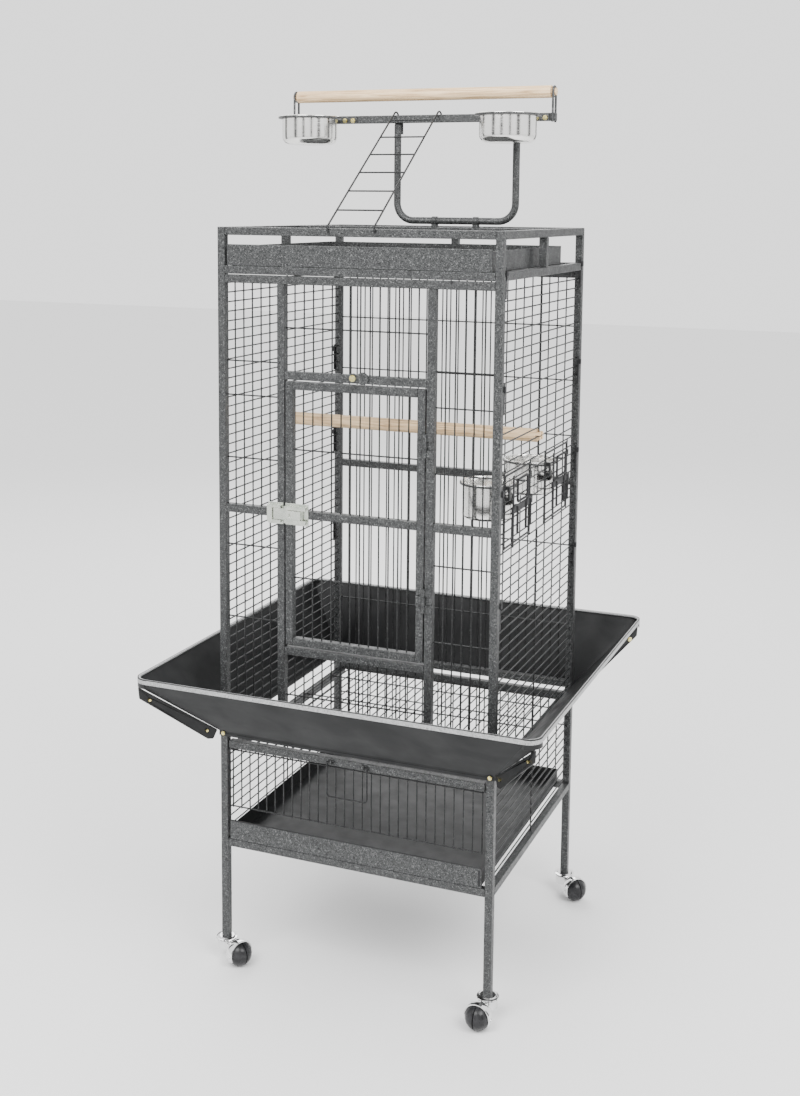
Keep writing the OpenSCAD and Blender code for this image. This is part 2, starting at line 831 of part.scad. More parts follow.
// U-shaped pull handle hanging from the grate rail's two lugs
module pull_bail() {
  y = -d2 - 4;
  z = grate_z + 7;
  b = 6;
  color(powder)
  translate([bail_x, 0, 0])
  for (sx = [-1, 1]) {
    x = sx * bail_w / 2;
    rod_x(min(x, x - sx * 12), max(x, x - sx * 12), y, z);
    rod_z(z - bail_h + b, z + 1.4, x, y);
    rod_x(sx < 0 ? -bail_w / 2 + b : 0, sx < 0 ? 0.2 : bail_w / 2 - b, y, z - bail_h);
    arc_xz(x - sx * b, y, z - bail_h + b, b, sx < 0 ? 180 : 270, sx < 0 ? 270 : 360);
  }
}

feed_r = cup_d / 2 + 0.8;
feed_cx = xm - feed_r - 6;
feed_cz = feed_z1 - 34;

// swing-out feeder door centred at yc: wire frame, level wires, knuckles and loop latch
module feeder_door(yc) {
  h = feeder_w / 2 - 4.5;
  z0 = feed_z0 + 4;
  z1 = feed_z1 - 4;
  hy = yc + feeder_w / 2;
  for (y = [yc - h, yc + h])
    rod_z(z0, z1, xm, y, 3.6);
  for (z = [z0 + 1.8, z1 - 1.8])
    rod_y(yc - h, yc + h, xm, z, 3.6);
  for (i = [feed_a + 1 : feed_b - 1])
    wire_y(yc - h, yc + h, xm, base_t + i * side_s);
  // knuckles on the jamb wire
  for (i = [feed_a + 1, feed_b - 2]) {
    z = base_t + (i + 0.5) * side_s;
    difference() {
      union() {
        rod_z(z - 5, z + 5, xm, hy, 6);
        slab([xm - 1.5, yc + h - 0.5, z - 5], [xm + 1.5, hy - 1.2, z + 5]);
      }
      rod_z(z - 9, z + 9, xm, hy, wire + 2 * fit);
    }
  }
  // loop latch outside, near the free edge
  slab([xm, yc - h - 1, feed_cz - 12], [xm + 9, yc - h + 7, feed_cz - 7]);
  slab([xm, yc - h - 1, feed_cz + 7], [xm + 9, yc - h + 7, feed_cz + 12]);
  slab([xm + 6, yc - h - 1, feed_cz - 12], [xm + 9, yc - h + 7, feed_cz + 12]);
}

// flat ring on two arms that carries a cup
module feeder_ring(yc) {
  difference() {
    union() {
      translate([feed_cx, yc, feed_cz]) cylinder(r = feed_r + 4, h = 3, $fn = 64);
      for (s = [-1, 1])
        slab([feed_cx, yc + s * (feed_r - 6), feed_cz], [xm - wire / 2, yc + s * (feed_r + 2), feed_cz + 3]);
    }
    translate([feed_cx, yc, feed_cz - 4]) cylinder(r = feed_r, h = 12, $fn = 64);
  }
}

module feeder_door_front() {
  color(powder) feeder_door(fy0);
}

module feeder_door_rear() {
  color(powder) feeder_door(fy1);
}

module feeder_ring_front() {
  color(powder) feeder_ring(fy0);
}

module feeder_ring_rear() {
  color(powder) feeder_ring(fy1);
}

module cup(yc) {
  translate([feed_cx, yc, feed_cz + 3]) bowl(cup_d / 2, cup_h, 8);
}

module cup_front() {
  color(steel) cup(fy0);
}

module cup_rear() {
  color(steel) cup(fy1);
}

// ladder: hooks over the crossbar, rails down to the front roof rail, rungs
lad_r = 13;
lad_foot_y = -d2 - 2.6;
lad_foot_z = roof_z + 4;
lad_dy = stand_y - lad_foot_y;
lad_dz = bar_cz - lad_foot_z;
lad_a = atan2(lad_dz, lad_dy) + asin(lad_r / sqrt(lad_dy * lad_dy + lad_dz * lad_dz));
lad_l = sqrt(lad_dy * lad_dy + lad_dz * lad_dz - lad_r * lad_r);

module ladder_rails() {
  color(powder)
  for (s = [-1, 1]) {
    x = ladder_x + s * ladder_w / 2;
    arc_yz(x, stand_y, bar_cz, lad_r, 22, 90 + lad_a);
    translate([x, lad_foot_y, lad_foot_z]) rotate([lad_a - 90, 0, 0]) cylinder(d = rod, h = lad_l);
    rod_z(lad_foot_z - 11, lad_foot_z, x, lad_foot_y);
    translate([x, lad_foot_y, lad_foot_z]) sphere(d = rod + 0.6, $fn = 20);
  }
}

module ladder_rungs() {
  e = ladder_w / 2 - rod / 2 + 0.1;
  color(powder)
  for (i = [0 : rungs - 1]) {
    l = lad_l * (0.13 + 0.8 * i / (rungs - 1));
    rod_x(ladder_x - e, ladder_x + e,
      lad_foot_y + l * cos(lad_a), lad_foot_z + l * sin(lad_a), rod - 0.4);
  }
}

// caster hood, trailing along +X before it is turned
module hood() {
  o = ball_r + 3;
  ci = ball_r + 1.2;
  difference() {
    union() {
      translate([trail, 0, ball_r]) sphere(r = o, $fn = 40);
      translate([0, 0, ball_r]) cylinder(r = 17, h = foot_h - 5 - ball_r);
      slab([0, -11, ball_r + 4], [trail - 12, 11, foot_h - 8]);
    }
    translate([trail, 0, ball_r]) sphere(r = ci, $fn = 40);
    slab([trail + 6, -60, -10], [trail + 90, 60, 2 * ball_r + 20]);
    slab([-60, -60, -10], [120, 60, ball_r * 0.6]);
    translate([trail, 60, ball_r]) rotate([90, 0, 0]) cylinder(r = 2.5 + fit, h = 120);
  }
  rod_z(foot_h - 6, foot_h - 0.5, 0, 0, 8);
}

module ball() {
  difference() {
    translate([trail, 0, ball_r]) sphere(r = ball_r, $fn = 40);
    difference() {
      translate([trail, 1, ball_r]) rotate([90, 0, 0]) cylinder(r = ball_r + 2, h = 2);
      translate([trail, 2, ball_r]) rotate([90, 0, 0]) cylinder(r = ball_r - 3, h = 4);
    }
  }
  translate([trail, ball_r + 2.6, ball_r]) rotate([90, 0, 0]) cylinder(r = 2.5, h = 2 * ball_r + 5.2);
}

module at_leg(sx, sy, a) {
  translate([sx * xm, sy * ym, 0]) rotate([0, 0, a]) children();
}

module caster_fl() {
  color(steel) at_leg(-1, -1, -24) hood();
}

module caster_fr() {
  color(steel) at_leg(1, -1, -97) hood();
}

module caster_bl() {
  color(steel) at_leg(-1, 1, 160) hood();
}

module caster_br() {
  color(steel) at_leg(1, 1, -40) hood();
}

module wheel_fl() {
  color(black) at_leg(-1, -1, -24) ball();
}

module wheel_fr() {
  color(black) at_leg(1, -1, -97) ball();
}

module wheel_bl() {
  color(black) at_leg(-1, 1, 160) ball();
}

module wheel_br() {
  color(black) at_leg(1, 1, -40) ball();
}

corner_posts();
leg_plugs();
front_rails();
back_rails();
side_rails();
door_jambs();
front_cross_rails();
grille_front();
grille_back();
grille_left();
grille_right();
feeder_jambs();
roof_grille();
grate_runners();
skirt_front();
skirt_back();
skirt_right();
skirt_left();
corner_flanges();
bolts();
roof_supports();
loop_stand();
crossbar();
perch_holders();
top_perch();
bowl_rings();
inner_perch();
hinge_pins();
latch_keeper();
door_stiles();
door_rails();
door_bars();
door_hinge_leaves();
latch_plate();
latch_bolt();
catch_disc();
top_tray();
bottom_tray();
grate_rail();
grate_floor();
grate_apron();
pull_bail();
feeder_door_front();
feeder_door_rear();
feeder_ring_front();
feeder_ring_rear();
cup_front();
cup_rear();
bowl_left();
bowl_right();
ladder_rails();
ladder_rungs();
caster_fl();
caster_fr();
caster_bl();
caster_br();
wheel_fl();
wheel_fr();
wheel_bl();
wheel_br();
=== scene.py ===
"""Play-top bird cage on castered legs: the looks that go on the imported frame."""

import json
import logging
import math
from abc import ABC, abstractmethod
from dataclasses import dataclass, field
from enum import Enum
from typing import Iterable, Sequence

import bmesh
import bpy
from mathutils import Matrix, Vector


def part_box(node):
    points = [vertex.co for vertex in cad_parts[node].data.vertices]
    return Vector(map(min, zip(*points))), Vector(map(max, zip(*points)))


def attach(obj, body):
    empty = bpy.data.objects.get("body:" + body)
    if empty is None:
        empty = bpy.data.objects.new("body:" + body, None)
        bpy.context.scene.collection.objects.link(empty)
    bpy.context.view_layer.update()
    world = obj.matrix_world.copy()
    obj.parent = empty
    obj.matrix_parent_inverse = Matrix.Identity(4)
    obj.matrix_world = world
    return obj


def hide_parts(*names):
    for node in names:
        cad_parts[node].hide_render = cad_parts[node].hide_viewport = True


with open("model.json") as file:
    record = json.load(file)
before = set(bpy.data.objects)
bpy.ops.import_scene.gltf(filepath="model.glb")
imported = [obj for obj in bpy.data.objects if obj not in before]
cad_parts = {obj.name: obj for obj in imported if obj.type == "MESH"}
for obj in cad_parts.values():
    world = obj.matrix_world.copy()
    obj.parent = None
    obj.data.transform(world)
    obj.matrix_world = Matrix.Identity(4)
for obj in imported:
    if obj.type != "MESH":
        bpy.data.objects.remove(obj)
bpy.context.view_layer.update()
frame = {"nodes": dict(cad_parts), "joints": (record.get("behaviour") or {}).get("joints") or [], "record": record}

LOG = logging.getLogger("bird_cage")
Point = Sequence[float]


class Slot(Enum):
    """Material slots of the record that the pieces are painted from."""

    FRAME = "hammertone_frame"
    ROOF_SHEET = "hammertone_sheet"
    SHEET = "charcoal_sheet"
    STEEL = "stainless"
    NICKEL = "nickel_latch"
    ZINC = "yellow_zinc"
    WOOD = "perch_wood"
    CHROME = "caster_chrome"
    BALL = "ball_black"
    PLASTIC = "black_plastic"


class Grain(Enum):
    """Direction in which a pattern is drawn out."""

    ALONG_X = (0.045, 1.0, 1.0)
    ROUND_Z = (0.12, 0.12, 1.6)
    EVEN = (1.0, 1.0, 1.0)


# ---------------------------------------------------------------- node graphs


class Graph:
    """One node material under construction."""

    def __init__(self, name: str, metallic: float, roughness: float) -> None:
        """Starts a Principled material.

        Args:
            name: material name.
            metallic: metallic value.
            roughness: roughness value before any pattern.

        Returns:
            None.
        """
        self.material = bpy.data.materials.new(name)
        self.material.use_nodes = True
        self.tree = self.material.node_tree
        self.shader = self.tree.nodes["Principled BSDF"]
        self.shader.inputs["Metallic"].default_value = metallic
        self.shader.inputs["Roughness"].default_value = roughness
        self.coords = self.tree.nodes.new("ShaderNodeTexCoord").outputs["Object"]

    def stretched(self, grain: Grain) -> bpy.types.NodeSocket:
        """Object coordinates drawn out along a grain.

        Args:
            grain: direction of the pattern.

        Returns:
            Socket with the stretched coordinates.
        """
        node = self.tree.nodes.new("ShaderNodeMapping")
        node.inputs["Scale"].default_value = grain.value
        self.tree.links.new(self.coords, node.inputs["Vector"])
        return node.outputs["Vector"]

    def noise(
        self,
        scale: float,
        detail: float = 3.0,
        distortion: float = 0.0,
        grain: Grain = Grain.EVEN,
    ) -> bpy.types.NodeSocket:
        """Noise pattern.

        Args:
            scale: repeats per metre.
            detail: octaves.
            distortion: how far the pattern swirls.
            grain: direction of the pattern.

        Returns:
            Socket with the pattern's value.
        """
        node = self.tree.nodes.new("ShaderNodeTexNoise")
        node.inputs["Scale"].default_value = scale
        node.inputs["Detail"].default_value = detail
        node.inputs["Distortion"].default_value = distortion
        self.tree.links.new(self.stretched(grain), node.inputs["Vector"])
        return node.outputs["Fac"]

    def colour(
        self, pattern: bpy.types.NodeSocket, stops: Sequence[tuple[float, Point]]
    ) -> None:
        """Paints the base colour from a pattern.

        Args:
            pattern: value that picks the colour.
            stops: positions and linear colours.

        Returns:
            None.
        """
        ramp = self.ramp(pattern, stops)
        self.tree.links.new(ramp, self.shader.inputs["Base Color"])

    def ramp(
        self, pattern: bpy.types.NodeSocket, stops: Sequence[tuple[float, Point]]
    ) -> bpy.types.NodeSocket:
        """Colour ramp.

        Args:
            pattern: value that picks the colour.
            stops: positions and linear colours.

        Returns:
            Socket with the colour.
        """
        node = self.tree.nodes.new("ShaderNodeValToRGB")
        elements = node.color_ramp.elements
        while len(elements) < len(stops):
            elements.new(0.5)
        for element, (place, rgb) in zip(elements, stops):
            element.position = place
            element.color = (*rgb, 1.0)
        self.tree.links.new(pattern, node.inputs["Fac"])
        return node.outputs["Color"]

    def rough(self, pattern: bpy.types.NodeSocket, low: float, high: float) -> None:
        """Varies the roughness with a pattern.

        Args:
            pattern: value between 0 and 1.
            low: roughness at 0.3.
            high: roughness at 0.7.

        Returns:
            None.
        """
        node = self.tree.nodes.new("ShaderNodeMapRange")
        node.inputs["From Min"].default_value = 0.3
        node.inputs["From Max"].default_value = 0.7
        node.inputs["To Min"].default_value = low
        node.inputs["To Max"].default_value = high
        self.tree.links.new(pattern, node.inputs["Value"])
        self.tree.links.new(node.outputs["Result"], self.shader.inputs["Roughness"])

    def bump(self, pattern: bpy.types.NodeSocket, depth: float, strength: float) -> None:
        """Adds surface relief from a pattern.

        Args:
            pattern: height pattern.
            depth: height in metres.
            strength: 0 to 1.

        Returns:
            None.
        """
        node = self.tree.nodes.new("ShaderNodeBump")
        node.inputs["Strength"].default_value = strength
        node.inputs["Distance"].default_value = depth
        self.tree.links.new(pattern, node.inputs["Height"])
        last = self.shader.inputs["Normal"]
        if last.is_linked:
            self.tree.links.new(last.links[0].from_socket, node.inputs["Normal"])
        self.tree.links.new(node.outputs["Normal"], last)


# -------------------------------------------------------------------- finishes


@dataclass(frozen=True)
class Finish(ABC):
    """A finish that builds one procedural material."""

    name: str

    @abstractmethod
    def build(self) -> bpy.types.Material:
        """Builds the material."""


@dataclass(frozen=True)
class Hammertone(Finish):
    """Vein powder coat: light flecks in a dark net, slightly metallic."""

    dark: Point = (0.008, 0.0085, 0.009)
    mid: Point = (0.042, 0.0435, 0.044)
    light: Point = (0.19, 0.194, 0.194)
    fleck: float = 430.0

    def build(self) -> bpy.types.Material:
        """Builds the material.

        Returns:
            The new material.
        """
        g = Graph(self.name, 0.25, 0.4)
        g.shader.inputs["Specular IOR Level"].default_value = 0.35
        veins = g.noise(self.fleck, 4.0, 1.6)
        g.colour(
            veins,
            [(0.36, self.dark), (0.47, self.mid), (0.56, self.mid), (0.68, self.light)],
        )
        g.rough(g.noise(60.0, 2.0), 0.34, 0.5)
        g.bump(veins, 0.0005, 0.6)
        g.bump(g.noise(900.0, 2.0), 0.0001, 0.3)
        return g.material


@dataclass(frozen=True)
class SatinSheet(Finish):
    """Smooth dark powder coat on folded sheet, with orange peel."""

    dark: Point = (0.0105, 0.011, 0.0115)
    light: Point = (0.02, 0.0205, 0.021)
    sheen: float = 0.22

    def build(self) -> bpy.types.Material:
        """Builds the material.

        Returns:
            The new material.
        """
        g = Graph(self.name, 0.0, 0.42)
        g.shader.inputs["Specular IOR Level"].default_value = self.sheen
        g.colour(g.noise(14.0, 5.0, 0.4), [(0.35, self.dark), (0.65, self.light)])
        g.rough(g.noise(35.0, 3.0), 0.36, 0.5)
        g.bump(g.noise(420.0, 3.0), 0.00018, 0.35)
        return g.material


@dataclass(frozen=True)
class SpunSteel(Finish):
    """Polished spun steel with fine turning lines."""

    tint: Point = (0.78, 0.775, 0.755)
    rough_low: float = 0.1
    rough_high: float = 0.24

    def build(self) -> bpy.types.Material:
        """Builds the material.

        Returns:
            The new material.
        """
        g = Graph(self.name, 1.0, self.rough_low)
        lines = g.noise(620.0, 3.0, 0.0, Grain.ROUND_Z)
        pale = [min(1.0, c * 1.12) for c in self.tint]
        g.colour(lines, [(0.35, self.tint), (0.65, pale)])
        g.rough(lines, self.rough_low, self.rough_high)
        g.bump(lines, 0.00004, 0.25)
        return g.material


@dataclass(frozen=True)
class Plating(Finish):
    """Thin bright plating with a cloudy tint."""

    first: Point = (0.7, 0.7, 0.7)
    second: Point = (0.8, 0.8, 0.8)
    rough_low: float = 0.06
    rough_high: float = 0.14
    cloud: float = 45.0

    def build(self) -> bpy.types.Material:
        """Builds the material.

        Returns:
            The new material.
        """
        g = Graph(self.name, 1.0, self.rough_low)
        clouds = g.noise(self.cloud, 4.0, 0.8)
        g.colour(clouds, [(0.35, self.first), (0.65, self.second)])
        g.rough(g.noise(self.cloud * 5.0, 3.0), self.rough_low, self.rough_high)
        g.bump(g.noise(self.cloud * 12.0, 2.0), 0.00006, 0.2)
        return g.material


@dataclass(frozen=True)
class PerchWood(Finish):
    """Bare sanded pale wood with long grain."""

    pale: Point = (0.84, 0.63, 0.39)
    mid: Point = (0.66, 0.465, 0.265)
    dark: Point = (0.38, 0.235, 0.115)

    def build(self) -> bpy.types.Material:
        """Builds the material.

        Returns:
            The new material.
        """
        g = Graph(self.name, 0.0, 0.62)
        fibre = g.noise(300.0, 6.0, 0.7, Grain.ALONG_X)
        g.colour(fibre, [(0.32, self.dark), (0.48, self.mid), (0.66, self.pale)])
        g.rough(fibre, 0.55, 0.75)
        g.bump(fibre, 0.0003, 0.4)
        g.bump(g.noise(1400.0, 2.0, 0.0, Grain.ALONG_X), 0.0001, 0.3)
        return g.material


@dataclass(frozen=True)
class Moulded(Finish):
    """Moulded plastic with a slight texture."""

    tone: Point = (0.011, 0.011, 0.012)
    gloss: float = 0.22

    def build(self) -> bpy.types.Material:
        """Builds the material.

        Returns:
            The new material.
        """
        g = Graph(self.name, 0.0, self.gloss)
        g.shader.inputs["Specular IOR Level"].default_value = 0.3
        lift = [c * 1.9 + 0.004 for c in self.tone]
        g.colour(g.noise(90.0, 4.0), [(0.4, self.tone), (0.7, lift)])
        g.rough(g.noise(160.0, 3.0), self.gloss, self.gloss + 0.16)
        g.bump(g.noise(700.0, 2.0), 0.00008, 0.25)
        return g.material


@dataclass(frozen=True)
class Paper(Finish):
    """Pale studio floor."""

    tone: Point = (0.86, 0.86, 0.86)

    def build(self) -> bpy.types.Material:
        """Builds the material.

        Returns:
            The new material.
        """
        g = Graph(self.name, 0.0, 0.9)
        g.shader.inputs["Base Color"].default_value = (*self.tone, 1.0)
        return g.material


class Paintbox:
    """All materials of the scene: one per slot, a few extra finishes, and a lighter and a darker copy of the frame
    paint as painted highlight and painted shade.
    """

    def __init__(self) -> None:
        """Builds every material once.

        Returns:
            None.
        """
        self.by_slot = {
            Slot.FRAME: Hammertone("hammertone_tube").build(),
            Slot.ROOF_SHEET: Hammertone("hammertone_panel", fleck=400.0).build(),
            Slot.SHEET: SatinSheet("satin_sheet").build(),
            Slot.STEEL: SpunSteel("spun_steel").build(),
            Slot.NICKEL: Plating(
                "nickel_plate", (0.5, 0.53, 0.48), (0.66, 0.68, 0.62), 0.2, 0.34
            ).build(),
            Slot.ZINC: Plating(
                "yellow_zinc", (0.55, 0.45, 0.16), (0.7, 0.66, 0.36), 0.22, 0.36, 160.0
            ).build(),
            Slot.WOOD: PerchWood("perch_wood").build(),
            Slot.CHROME: Plating("caster_chrome").build(),
            Slot.BALL: Moulded("ball_black").build(),
            Slot.PLASTIC: Moulded("plug_black", gloss=0.5).build(),
        }
        # Painted highlight: a lighter copy of the hammertone for the skirt's rolled lip, standing in for the light
        # the edge catches.
        self.lit_hem_paint = Hammertone(
            "hem_painted_highlight", (0.16, 0.162, 0.164), (0.34, 0.343, 0.345), (0.55, 0.55, 0.55)
        ).build()
        # Painted shade: a darker copy of the hammertone for the grille wires, which carry the frame's paint.
        self.wire = Hammertone(
            "wire_painted_shade", (0.004, 0.0042, 0.0045), (0.014, 0.0146, 0.015), (0.06, 0.062, 0.062)
        ).build()
        self.floor = Paper("studio_floor").build()
        self.card = Moulded("studio_card", gloss=0.9).build()

    def __getitem__(self, slot: Slot) -> bpy.types.Material:
        """Material of a slot."""
        return self.by_slot[slot]


# -------------------------------------------------------------- mesh utilities


def stand(name: str, data: bpy.types.ID) -> bpy.types.Object:
    """Links a new object that holds some data.

    Args:
        name: object name.
        data: its mesh, light or camera.

    Returns:
        The new object.
    """
    obj = bpy.data.objects.new(name, data)
    bpy.context.scene.collection.objects.link(obj)
    return obj


@dataclass
class Soup:
    """Vertices and faces collected for one mesh."""

    verts: list[Vector] = field(default_factory=list)
    faces: list[tuple[int, ...]] = field(default_factory=list)

    def add(self, verts: Iterable[Point], faces: Iterable[Sequence[int]]) -> None:
        """Appends a shape.

        Args:
            verts: its points in metres.
            faces: its faces, numbered from its own first point.

        Returns:
            None.
        """
        base = len(self.verts)
        self.verts += [Vector(v) for v in verts]
        self.faces += [tuple(base + i for i in f) for f in faces]

    def lathe(
        self,
        profile: Sequence[tuple[float, float]],
        centre: Point,
        axis: Point = (0, 0, 1),
        steps: int = 64,
    ) -> None:
        """Adds a turned shape.

        Args:
            profile: radius and height pairs in metres, closed where the radius is 0.
            centre: where the profile's height 0 sits.
            axis: direction of the height.
            steps: segments round the axis.

        Returns:
            None.
        """
        turn = Vector((0, 0, 1)).rotation_difference(Vector(axis)).to_matrix()
        verts: list[Vector] = []
        rows: list[list[int]] = []
        for radius, height in profile:
            if radius < 1e-7:
                rows.append([len(verts)] * steps)
                verts.append(Vector(centre) + turn @ Vector((0, 0, height)))
                continue
            rows.append(list(range(len(verts), len(verts) + steps)))
            for k in range(steps):
                a = 2 * math.pi * k / steps
                p = Vector((radius * math.cos(a), radius * math.sin(a), height))
                verts.append(Vector(centre) + turn @ p)
        faces = []
        for low, high in zip(rows, rows[1:]):
            for k in range(steps):
                n = (k + 1) % steps
                loop = [low[k], low[n], high[n], high[k]]
                face = tuple(dict.fromkeys(loop))
                if len(face) > 2:
                    faces.append(face)
        self.add(verts, faces)

    def sweep(
        self, path: Sequence[Point], radius: float, sides: int = 12, closed: bool = False
    ) -> None:
        """Adds a round rod along a path.

        Args:
            path: points in metres.
            radius: rod radius.
            sides: segments round the rod.
            closed: True to join the last point to the first.

        Returns:
            None.
        """
        pts = [Vector(p) for p in path]
        count = len(pts)
        verts: list[Vector] = []
        up = Vector((0.31, 0.23, 0.92))
        for i, p in enumerate(pts):
            before = pts[i - 1] if i or closed else p
            after = pts[(i + 1) % count] if i < count - 1 or closed else p
            tangent = (after - before).normalized()
            side = tangent.cross(up)
            if side.length < 1e-3:
                side = tangent.orthogonal()
            side.normalize()
            up = side.cross(tangent).normalized()
            for k in range(sides):
                a = 2 * math.pi * k / sides
                verts.append(p + radius * (math.cos(a) * side + math.sin(a) * up))
        faces: list[tuple[int, ...]] = []
        last = count if closed else count - 1
        for i in range(last):
            j = (i + 1) % count
            for k in range(sides):
                n = (k + 1) % sides
                faces.append((i * sides + k, i * sides + n, j * sides + n, j * sides + k))
        if not closed:
            faces.append(tuple(reversed(range(sides))))
            faces.append(tuple(range((count - 1) * sides, count * sides)))
        self.add(verts, faces)

    def block(self, low: Point, high: Point, chamfer: float = 0.0004) -> None:
        """Adds a block with chamfered edges.

        Args:
            low: one corner in metres.
            high: the opposite corner.
            chamfer: chamfer width.

        Returns:
            None.
        """
        a = [min(p, q) for p, q in zip(low, high)]
        b = [max(p, q) for p, q in zip(low, high)]
        c = min(chamfer, *[(q - p) * 0.45 for p, q in zip(a, b)])
        verts = []
        index: dict[tuple[int, int, int, int], int] = {}
        for sx in (0, 1):
            for sy in (0, 1):
                for sz in (0, 1):
                    for flat in range(3):
                        corner = [(a[i], b[i])[s] for i, s in enumerate((sx, sy, sz))]
                        for i, s in enumerate((sx, sy, sz)):
                            if i != flat:
                                corner[i] += c if s == 0 else -c
                        index[(sx, sy, sz, flat)] = len(verts)
                        verts.append(corner)
        faces = []
        for flat in range(3):
            u, v = [i for i in range(3) if i != flat]
            for s in (0, 1):
                ring = []
                for p, q in ((0, 0), (1, 0), (1, 1), (0, 1)):
                    key = [0, 0, 0]
                    key[flat], key[u], key[v] = s, p, q
                    ring.append(index[(*key, flat)])
                faces.append(tuple(ring))
        for u in range(3):
            p, q = [i for i in range(3) if i != u]
            for sp in (0, 1):
                for sq in (0, 1):
                    ring = []
                    for s, flat in ((0, p), (1, p), (1, q), (0, q)):
                        key = [0, 0, 0]
                        key[u], key[p], key[q] = s, sp, sq
                        ring.append(index[(*key, flat)])
                    faces.append(tuple(ring))
        for sx in (0, 1):
            for sy in (0, 1):
                for sz in (0, 1):
                    faces.append(tuple(index[(sx, sy, sz, f)] for f in range(3)))
        self.add(verts, faces)

    def build(
        self, name: str, material: bpy.types.Material, sharp_deg: float = 35.0
    ) -> bpy.types.Object:
        """Makes the object.

        Args:
            name: object name.
            material: its material.
            sharp_deg: edges sharper than this stay crisp.

        Returns:
            The new object, linked to the scene.
        """
        mesh = bpy.data.meshes.new(name)
        mesh.from_pydata(self.verts, [], self.faces)
        mesh.validate()
        mesh.update()
        obj = stand(name, mesh)
        bm = bmesh.new()
        bm.from_mesh(mesh)
        bmesh.ops.recalc_face_normals(bm, faces=bm.faces)
        bm.to_mesh(mesh)
        bm.free()
        for poly in mesh.polygons:
            poly.use_smooth = True
        mesh.set_sharp_from_angle(angle=math.radians(sharp_deg))
        mesh.materials.append(material)
        return obj


def fillet(points: Sequence[Point], radius: float, steps: int = 6) -> list[Vector]:
    """Rounds the inner corners of a polyline.

    Args:
        points: the polyline in metres.
        radius: corner radius.
        steps: points per corner.

    Returns:
        The rounded polyline.
    """
    pts = [Vector(p) for p in points]
    out = [pts[0]]
    for a, b, c in zip(pts, pts[1:], pts[2:]):
        u = (a - b).normalized()
        v = (c - b).normalized()
        reach = min(radius, (a - b).length * 0.49, (c - b).length * 0.49)
        for k in range(steps + 1):
            t = k / steps
            p = b + u * reach
            q = b + v * reach
            out.append(p.lerp(b, t).lerp(b.lerp(q, t), t))
    out.append(pts[-1])
    return out


def loop_round(x: float, y: float, z: float, radius: float, steps: int = 8) -> list[Vector]:
    """Closed rounded rectangle, level at a height.

    Args:
        x: half width.
        y: half depth.
        z: height.
        radius: corner radius.
        steps: points per corner.

    Returns:
        Points round the loop.
    """
    out = []
    for sx, sy, start in ((1, 1, 0), (-1, 1, 90), (-1, -1, 180), (1, -1, 270)):
        for k in range(steps + 1):
            a = math.radians(start + 90 * k / steps)
            out.append(
                Vector(
                    (
                        sx * (x - radius) + radius * math.cos(a),
                        sy * (y - radius) + radius * math.sin(a),
                        z,
                    )
                )
            )
    return out


# ---------------------------------------------------------------- sub-assemblies


class SubAssembly(ABC):
    """A group of pieces that is dressed together."""

    title = "sub-assembly"

    def __init__(self, paint: Paintbox) -> None:
        """Keeps the paint box."""
        self.paint = paint

    def place(
        self,
        soup: Soup,
        name: str,
        slot: Slot,
        body: str,
        material: bpy.types.Material | None = None,
        sharp_deg: float = 35.0,
    ) -> bpy.types.Object:
        """Builds a collected mesh, paints it and puts it on its body.

        Args:
            soup: the collected mesh.
            name: piece name.
            slot: its material slot.
            body: the body it rides on.
            material: paint other than the slot's own.
            sharp_deg: edges sharper than this stay crisp.

        Returns:
            The new piece.
        """
        obj = soup.build(name, material or self.paint[slot], sharp_deg)
        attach(obj, body)
        LOG.info("%s: %s on %s, %d faces", self.title, name, body, len(obj.data.polygons))
        return obj

    @abstractmethod
    def dress(self) -> None:
        """Makes and paints the group's pieces."""


